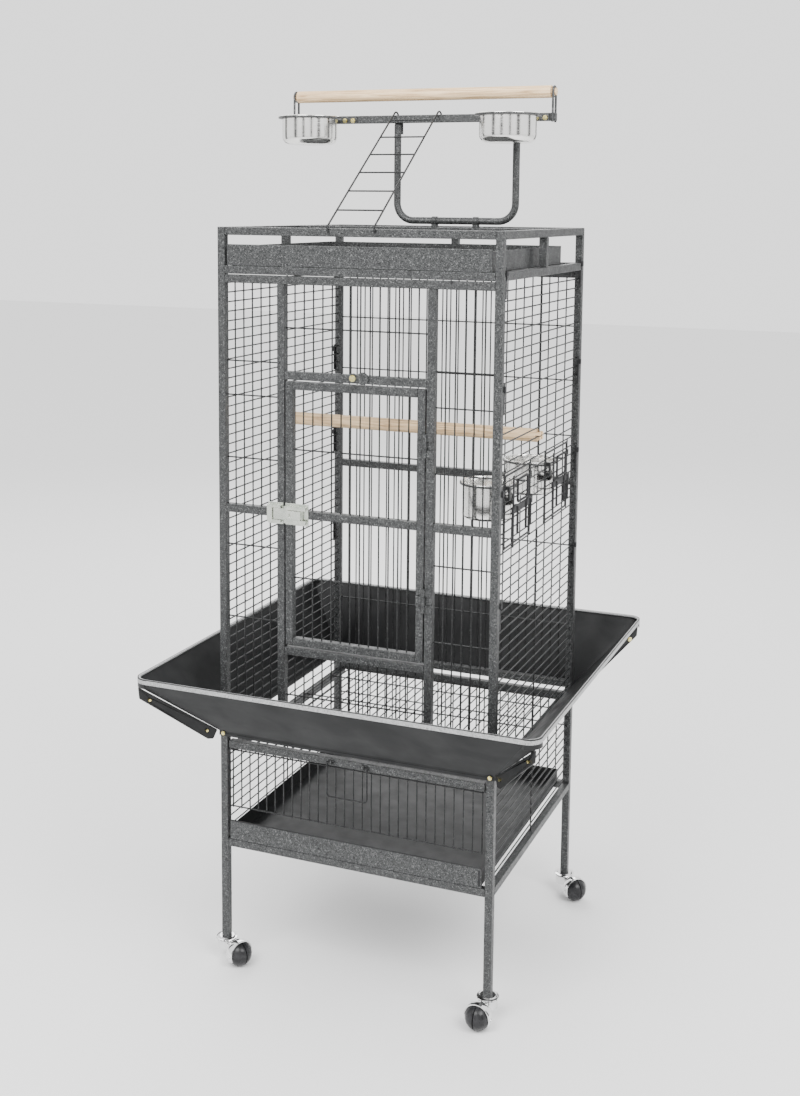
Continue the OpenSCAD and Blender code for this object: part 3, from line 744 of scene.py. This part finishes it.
class FrameShell(SubAssembly):
    """Paints every carried-over node and softens its edges."""

    title = "frame shell"
    BOXES = (
        "corner_posts front_rails back_rails side_rails door_jambs front_cross_rails "
        "roof_supports crossbar door_stiles door_rails grate_rail latch_plate latch_keeper "
        "latch_bolt corner_flanges grate_runners leg_plugs"
    ).split()
    WIRES = (
        "grille_front grille_back grille_left grille_right feeder_jambs roof_grille door_bars "
        "grate_floor grate_apron feeder_door_front feeder_door_rear ladder_rails ladder_rungs "
        "pull_bail"
    ).split()

    EDGE = 0.0013
    LATCH_EDGE = 0.0005
    WELD_GAP = 0.00001
    BEVEL_DEG = 40
    CRISP_DEG = 50

    def dress(self) -> None:
        """Paints the nodes by their slots, the wires with a darker copy of the frame paint as painted shade.

        Returns:
            None.
        """
        slots = {s.value: s for s in Slot}
        for part in frame["record"]["subparts"]:
            node = frame["nodes"][part["node"]]
            coat = self.paint[slots[part["material_slot"]]]
            # Wires take the darker hammertone copy, which is painted shade.
            self.paint_node(node, self.paint.wire if part["node"] in self.WIRES else coat)
            if part["node"] in self.BOXES:
                self.soften(node, self.LATCH_EDGE if "latch" in part["node"] else self.EDGE)
            else:
                self.smooth(node)
            LOG.info("%s: %s", self.title, part["node"])

    @staticmethod
    def paint_node(node: bpy.types.Object, material: bpy.types.Material) -> None:
        """Gives one node one material.

        Args:
            node: the node's object.
            material: the material.

        Returns:
            None.
        """
        node.data.materials.clear()
        node.data.materials.append(material)
        for name in ("custom_normal", "sharp_edge", "sharp_face"):
            layer = node.data.attributes.get(name)
            if layer is not None:
                node.data.attributes.remove(layer)
        node.data.polygons.foreach_set("use_smooth", [True] * len(node.data.polygons))

    def weld(self, node: bpy.types.Object) -> None:
        """Joins a node's doubled points, so that its edges are shared."""
        weld = node.modifiers.new("weld", "WELD")
        weld.merge_threshold = self.WELD_GAP

    def soften(self, node: bpy.types.Object, width: float) -> None:
        """Rounds a boxy node's edges.

        Args:
            node: the node's object.
            width: edge radius in metres.

        Returns:
            None.
        """
        self.weld(node)
        bevel = node.modifiers.new("edge", "BEVEL")
        bevel.width = width
        bevel.segments = 2
        bevel.limit_method = "ANGLE"
        bevel.angle_limit = math.radians(self.BEVEL_DEG)
        bevel.harden_normals = True

    def smooth(self, node: bpy.types.Object) -> None:
        """Shades a round node smoothly, with crisp ends.

        Args:
            node: the node's object.

        Returns:
            None.
        """
        self.weld(node)
        split = node.modifiers.new("crisp", "EDGE_SPLIT")
        split.split_angle = math.radians(self.CRISP_DEG)


@dataclass(frozen=True)
class HemSizes:
    """Sizes of the skirt's hems in metres."""

    bead: float = 0.0023
    corner: float = 0.024
    lip: float = 0.009
    lip_drop: float = 0.002
    proud: float = 0.0002
    fold: float = 0.0024
    fold_low: float = 0.001
    fold_high: float = 0.0045
    fold_chamfer: float = 0.0006


class SkirtTrim(SubAssembly):
    """Rolled lip and base fold of the seed skirt."""

    title = "skirt trim"

    def __init__(self, paint: Paintbox, sizes: HemSizes = HemSizes()) -> None:
        """Keeps the paint box and the sizes."""
        super().__init__(paint)
        self.sizes = sizes

    def dress(self) -> None:
        """Makes the lip bead, the lip band and the base fold.

        Returns:
            None.
        """
        low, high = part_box("skirt_front")
        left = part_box("skirt_left")[0][0]
        front = low[1]
        top = high[2]
        s = self.sizes
        x, y = abs(left), abs(front)
        soup = Soup()
        inset = s.bead - s.proud
        soup.sweep(loop_round(x - inset, y - inset, top - s.bead, s.corner), s.bead, 12, True)
        heights = (top - s.lip, top - s.lip_drop)
        outer = [loop_round(x + s.proud, y + s.proud, z, s.corner) for z in heights]
        ring = outer[0] + outer[1]
        n = len(outer[0])
        soup.add(ring, [(k, (k + 1) % n, n + (k + 1) % n, n + k) for k in range(n)])
        # The lip bead and band carry the lighter hammertone copy, a painted highlight on the edge.
        self.place(soup, "skirt_lip", Slot.SHEET, "frame", material=self.paint.lit_hem_paint)
        self.base_fold()

    def base_fold(self) -> None:
        """Folded strip where the panels meet the posts.

        Returns:
            None.
        """
        low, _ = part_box("skirt_front")
        _, posts_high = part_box("corner_posts")
        soup = Soup()
        s = self.sizes
        z0, z1 = low[2] - s.fold_low, low[2] + s.fold_high
        x, y = posts_high[0], posts_high[1]
        for side in (-1, 1):
            soup.block((-x, side * y, z0), (x, side * (y + s.fold), z1), s.fold_chamfer)
            soup.block((side * x, -y, z0), (side * (x + s.fold), y, z1), s.fold_chamfer)
        self.place(soup, "skirt_base_fold", Slot.SHEET, "frame")


@dataclass(frozen=True)
class BowlSizes:
    """Shape of a spun bowl in metres."""

    wall: float = 0.0011
    rim: float = 0.0017
    foot: float = 0.0006
    neck: float = 0.006
    inner_neck: float = 0.004
    rim_reach: float = 0.003


class SteelBowls(SubAssembly):
    """Turned bowls and cups with rolled rims."""

    title = "steel bowls"
    NODES = {
        "bowl_left": ("bowl_a", 0.014),
        "bowl_right": ("bowl_b", 0.014),
        "cup_front": ("cup_a", 0.008),
        "cup_rear": ("cup_b", 0.008),
    }

    def __init__(self, paint: Paintbox, sizes: BowlSizes = BowlSizes()) -> None:
        """Keeps the paint box and the sizes."""
        super().__init__(paint)
        self.sizes = sizes

    def profile(self, radius: float, low: float, high: float, corner: float) -> list:
        """Bowl outline from the outer middle of the base to the inner middle.

        Args:
            radius: outer radius of the body.
            low: underside height.
            high: rim height.
            corner: corner radius.

        Returns:
            Radius and height pairs.
        """
        s = self.sizes
        out = [(0.0, low + s.foot), (radius * 0.42, low + s.foot), (radius * 0.5, low)]
        for k in range(9):
            a = math.radians(-90 + 90 * k / 8)
            out.append(
                (
                    radius - corner + corner * math.cos(a),
                    low + corner + corner * math.sin(a),
                )
            )
        out.append((radius, high - s.neck))
        rim = s.rim
        cx, cz = radius + rim * 0.75, high - rim
        for k in range(11):
            a = math.radians(-150 + 300 * k / 10)
            out.append((cx + rim * math.cos(a), cz + rim * math.sin(a)))
        inner = radius - s.wall
        out.append((inner, high - s.inner_neck))
        c = corner - s.wall
        for k in range(9):
            a = math.radians(-90 * k / 8)
            out.append((inner - c + c * math.cos(a), low + s.wall + c + c * math.sin(a)))
        out.append((radius * 0.42, low + s.wall + s.foot))
        out.append((0.0, low + s.wall + s.foot))
        return out

    def dress(self) -> None:
        """Makes the four bowls.

        Returns:
            None.
        """
        for node, (body, corner) in self.NODES.items():
            low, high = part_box(node)
            cx, cy = (low[0] + high[0]) / 2, (low[1] + high[1]) / 2
            radius = (high[0] - low[0]) / 2 - self.sizes.rim_reach
            soup = Soup()
            soup.lathe(self.profile(radius, low[2], high[2], corner), (cx, cy, 0), steps=96)
            obj = self.place(soup, node + "_spun", Slot.STEEL, body, sharp_deg=60.0)
            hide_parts(node)


@dataclass(frozen=True)
class HardwareSizes:
    """Places on a feeder door, in metres from its middle, and rod sizes."""

    rod: float = 0.0021
    stand: float = 0.0035
    hook_top: float = 0.0105
    hook_drop: float = 0.050
    hook_y: tuple[float, float] = (-0.052, 0.022)
    hook_half: float = 0.013
    loop_y: tuple[float, float] = (-0.040, 0.016)
    loop_z: tuple[float, float] = (0.014, 0.052)
    loop_gap: float = 0.002
    loop_bend: float = 0.006
    bar_z: tuple[float, float] = (-0.004, 0.009)
    bar_y: tuple[float, float] = (-0.066, 0.050)
    bar_thick: float = 0.0024
    strip_y: tuple[float, float] = (-0.060, -0.054)
    strip_thick: float = 0.002
    off_door: float = 0.0006


class FeederHardware(SubAssembly):
    """Bent-rod loops, hooks and flat bars on the two feeder doors."""

    title = "feeder hardware"

    def __init__(self, paint: Paintbox, sizes: HardwareSizes = HardwareSizes()) -> None:
        """Keeps the paint box and the sizes."""
        super().__init__(paint)
        self.sizes = sizes

    def hook(self, soup: Soup, x: float, y: float, width: float, top: float) -> None:
        """Adds one hook of bent rod, open at the bottom.

        Args:
            soup: mesh to add to.
            x: plane of the hook.
            y: middle of the hook.
            width: distance between its legs.
            top: height of the bend.

        Returns:
            None.
        """
        low = top - self.sizes.hook_drop
        corners = [(x, y - width, low), (x, y - width, top), (x, y + width, top), (x, y + width, low)]
        soup.sweep(fillet(corners, width * 0.9), self.sizes.rod, 12)

    def dress(self) -> None:
        """Makes the hardware of both doors.

        Returns:
            None.
        """
        s = self.sizes
        for which, body in (("front", "feeder_front"), ("rear", "feeder_rear")):
            low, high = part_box("feeder_door_" + which)
            x = high[0] + s.stand
            y = (low[1] + high[1]) / 2
            z = (low[2] + high[2]) / 2
            soup = Soup()
            for hook_y in s.hook_y:
                self.hook(soup, x, y + hook_y, s.hook_half, z + s.hook_top)
            y0, y1 = (y + v for v in s.loop_y)
            z0, z1 = (z + v for v in s.loop_z)
            loop = [(x, y0, z1), (x, y1, z1), (x, y1, z0), (x, y0, z0), (x, y0, z1 - s.loop_gap)]
            soup.sweep(fillet(loop, s.loop_bend), s.rod, 12)
            self.place(soup, "feeder_hooks_" + which, Slot.PLASTIC, body)
            soup = Soup()
            inner = high[0] + s.off_door
            (b0, b1), (c0, c1), (t0, t1) = s.bar_y, s.bar_z, s.strip_y
            soup.block((inner, y + b0, z + c0), (inner + s.bar_thick, y + b1, z + c1), 0.0005)
            soup.block(
                (inner, y + t0, low[2] + s.strip_thick),
                (inner + s.strip_thick, y + t1, high[2] - s.strip_thick),
            )
            self.place(soup, "feeder_bars_" + which, Slot.PLASTIC, body)


class CasterTrim(SubAssembly):
    """Swivel races and axle caps."""

    title = "caster trim"
    RACE_DROP = 0.0045
    CAP_REACH = 0.0246
    # radius, and height from the race's top, in metres
    RACE = (
        (0.0, -0.004),
        (0.0188, -0.004),
        (0.0196, -0.0028),
        (0.0188, -0.0016),
        (0.0150, -0.0012),
        (0.0135, 0.0),
        (0.0, 0.0),
    )
    # radius, and height out from the ball, in metres
    CAP = ((0.0, 0.0002), (0.0036, 0.0002), (0.0036, 0.0008), (0.002, 0.0015), (0.0, 0.0016))

    def dress(self) -> None:
        """Makes the trim of the four casters.

        Returns:
            None.
        """
        joints = {j["name"]: j for j in frame["joints"]}
        for corner in ("fl", "fr", "bl", "br"):
            stem = joints["swivel_turn_" + corner]["pos_m"]
            roll = joints["wheel_roll_" + corner]
            soup = Soup()
            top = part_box("caster_" + corner)[1][2] - self.RACE_DROP
            race = [(radius, top + height) for radius, height in self.RACE]
            soup.lathe(race, (stem[0], stem[1], 0), steps=48)
            self.place(soup, "swivel_race_" + corner, Slot.CHROME, "swivel_" + corner)
            soup = Soup()
            axis = Vector(roll["axis"])
            hub = Vector(roll["pos_m"])
            for side in (-1, 1):
                soup.lathe(self.CAP, hub + side * axis * self.CAP_REACH, side * axis, 24)
            self.place(soup, "axle_caps_" + corner, Slot.CHROME, "roller_" + corner)


@dataclass(frozen=True)
class HookSizes:
    """Size of a hanging hook in metres."""

    tall: float = 0.052
    wide: float = 0.0065
    thick: float = 0.0026
    tube: float = 0.014
    gap: float = 0.0002
    stand: float = 0.003
    chamfer: float = 0.0006


class PanelHooks(SubAssembly):
    """Dark hooks that hang the side panels on the posts."""

    title = "panel hooks"
    HEIGHTS = (0.16, 0.40, 0.62, 0.86)

    def __init__(self, paint: Paintbox, sizes: HookSizes = HookSizes()) -> None:
        """Keeps the paint box and the sizes."""
        super().__init__(paint)
        self.sizes = sizes

    def dress(self) -> None:
        """Makes the hooks along the posts.

        Returns:
            None.
        """
        s = self.sizes
        _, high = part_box("corner_posts")
        z0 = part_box("skirt_front")[1][2]
        z1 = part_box("front_rails")[1][2]
        x, y = high[0], high[1] - s.tube
        soup = Soup()
        for f in self.HEIGHTS:
            z = z0 + f * (z1 - z0)
            for sx in (-1, 1):
                for sy in (-1, 1):
                    soup.block(
                        (sx * (x - s.thick), sy * (y - s.wide), z),
                        (sx * x, sy * (y - s.gap), z + s.tall),
                        s.chamfer,
                    )
                    soup.block(
                        (sx * x, sy * (y - s.wide * 0.8), z + s.tall * 0.72),
                        (sx * (x + s.stand), sy * (y + s.stand), z + s.tall * 0.9),
                        s.chamfer,
                    )
        self.place(soup, "panel_hooks", Slot.PLASTIC, "frame")


class TrayFolds(SubAssembly):
    """Hemmed edges of the two tray fronts, and the lower tray's coated face with a dark block of painted shade in
    its finger slot.
    """

    title = "tray folds"

    def dress(self) -> None:
        """Makes the hems.

        Returns:
            None.
        """
        for node, body, slot, rib in (
            ("top_tray", "roof_tray", Slot.ROOF_SHEET, 0.024),
            ("bottom_tray", "floor_tray", Slot.SHEET, 0.010),
        ):
            low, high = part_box(node)
            x = high[0] - 0.0005
            y = low[1]
            soup = Soup()
            for z, radius in ((high[2] - 0.001, 0.0014), (low[2] + rib, 0.0009)):
                soup.sweep([(-x, y + 0.001, z), (x, y + 0.001, z)], radius, 12)
            self.place(soup, node + "_folds", slot, body)
        self.tray_face()

    def tray_face(self) -> None:
        """Coated face of the lower tray, with a dark block as painted shade in its finger slot.

        Returns:
            None.
        """
        low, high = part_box("bottom_tray")
        x, y = high[0] - 0.0008, low[1]
        top = high[2] - 0.0016
        soup = Soup()
        soup.block((-x, y - 0.0004, low[2] + 0.0006), (x, y + 0.0006, top), 0.0003)
        self.place(soup, "bottom_tray_face", Slot.FRAME, "floor_tray")
        # Painted shade: a dark block standing in for the shadow inside the finger slot opening.
        soup = Soup()
        soup.block((x - 0.0062, y - 0.0007, low[2] + 0.003), (x - 0.0016, y, top - 0.003), 0.0002)
        self.place(soup, "bottom_tray_slot_painted_shade", Slot.PLASTIC, "floor_tray")


# ----------------------------------------------------------------------- studio


@dataclass(frozen=True)
class Lamp:
    """One soft area light."""

    name: str
    place: Point
    target: Point
    size: float
    power: float


class Studio:
    """Camera, floor, mirror cards and lights."""

    YAW = 0.3855
    PITCH = -0.1231
    ROLL = 0.0092
    EYE = (0.950152, -2.385459, 1.377065)
    LENS = 46.02
    SHIFT_Y = -0.1533
    SURROUND = 1.75
    CARD_REACH = 4.2
    CARD_HEIGHTS = (0.2, 3.4)
    # direction from the object in degrees, and width in metres
    CARDS = (
        (-95, 0.7),
        (-62, 0.45),
        (-30, 0.9),
        (-130, 0.9),
        (20, 0.8),
        (75, 1.0),
        (130, 0.8),
        (175, 1.0),
    )
    FLOOR_HALF = 14.0
    SENSOR = 36.0
    CLIP = (0.02, 60.0)
    LAMPS = (
        Lamp("key", (2.2, -1.2, 3.0), (0, 0, 1.3), 1.8, 105.0),
        Lamp("front", (-0.5, -2.3, 2.9), (0, 0, 1.5), 1.7, 92.0),
        Lamp("back", (-1.5, 2.8, 3.0), (0, 0, 1.0), 2.2, 60.0),
    )

    def __init__(self, paint: Paintbox) -> None:
        """Keeps the paint box."""
        self.paint = paint

    def camera(self) -> None:
        """Sets the camera.

        Returns:
            None.
        """
        cy, sy = math.cos(self.YAW), math.sin(self.YAW)
        cp, sp = math.cos(self.PITCH), math.sin(self.PITCH)
        forward = Vector((-sy * cp, cy * cp, sp))
        right = Vector((cy, sy, 0.0))
        up = right.cross(forward)
        cr, sr = math.cos(self.ROLL), math.sin(self.ROLL)
        r = cr * right + sr * up
        u = -sr * right + cr * up
        data = bpy.data.cameras.new("camera")
        data.lens = self.LENS
        data.sensor_width = self.SENSOR
        data.shift_y = self.SHIFT_Y
        data.clip_start, data.clip_end = self.CLIP
        obj = stand("camera", data)
        basis = Matrix((r, u, -forward)).transposed().to_4x4()
        basis.translation = Vector(self.EYE)
        obj.matrix_world = basis
        bpy.context.scene.camera = obj

    def floor(self) -> None:
        """Makes the pale floor.

        Returns:
            None.
        """
        mesh = bpy.data.meshes.new("studio_floor")
        e = self.FLOOR_HALF
        mesh.from_pydata([(-e, -e, 0), (e, -e, 0), (e, e, 0), (-e, e, 0)], [], [(0, 1, 2, 3)])
        obj = stand("studio_floor", mesh)
        mesh.materials.append(self.paint.floor)

    def lights(self) -> None:
        """Makes the white surround and the area lights.

        Returns:
            None.
        """
        world = bpy.data.worlds.new("surround")
        world.use_nodes = True
        back = world.node_tree.nodes["Background"]
        back.inputs["Color"].default_value = (1.0, 1.0, 1.0, 1.0)
        back.inputs["Strength"].default_value = self.SURROUND
        bpy.context.scene.world = world
        for lamp in self.LAMPS:
            data = bpy.data.lights.new(lamp.name, "AREA")
            data.shape = "SQUARE"
            data.size = lamp.size
            data.energy = lamp.power
            obj = stand(lamp.name, data)
            obj.location = lamp.place
            way = Vector(lamp.target) - Vector(lamp.place)
            obj.rotation_euler = way.to_track_quat("-Z", "Y").to_euler()

    def cards(self) -> None:
        """Stands dark cards round the object for polished steel to mirror.

        Returns:
            None.
        """
        for number, (turn, width) in enumerate(self.CARDS):
            a = math.radians(turn)
            middle = Vector((math.cos(a), math.sin(a), 0.0)) * self.CARD_REACH
            side = Vector((-math.sin(a), math.cos(a), 0.0)) * width / 2
            low, high = (Vector((0, 0, z)) for z in self.CARD_HEIGHTS)
            mesh = bpy.data.meshes.new("studio_card")
            ring = [middle - side + low, middle + side + low, middle + side + high, middle - side + high]
            mesh.from_pydata(ring, [], [(0, 1, 2, 3)])
            card = stand("studio_card_%d" % number, mesh)
            mesh.materials.append(self.paint.card)
            card.visible_camera = False
            card.visible_diffuse = False
            card.visible_shadow = False

    def build(self) -> None:
        """Builds the whole studio.

        Returns:
            None.
        """
        self.camera()
        self.floor()
        self.cards()
        self.lights()
        LOG.info("studio: camera, floor, %d lights", len(self.LAMPS))


def main() -> None:
    """Builds the scene's classes in order.

    Returns:
        None.
    """
    logging.basicConfig(level=logging.INFO, format="%(name)s %(message)s")
    paint = Paintbox()
    Studio(paint).build()
    for maker in (FrameShell, SkirtTrim, SteelBowls, FeederHardware, CasterTrim, PanelHooks, TrayFolds):
        group = maker(paint)
        group.dress()
        LOG.info("%s done", group.title)


if __name__ == "__main__":
    main()
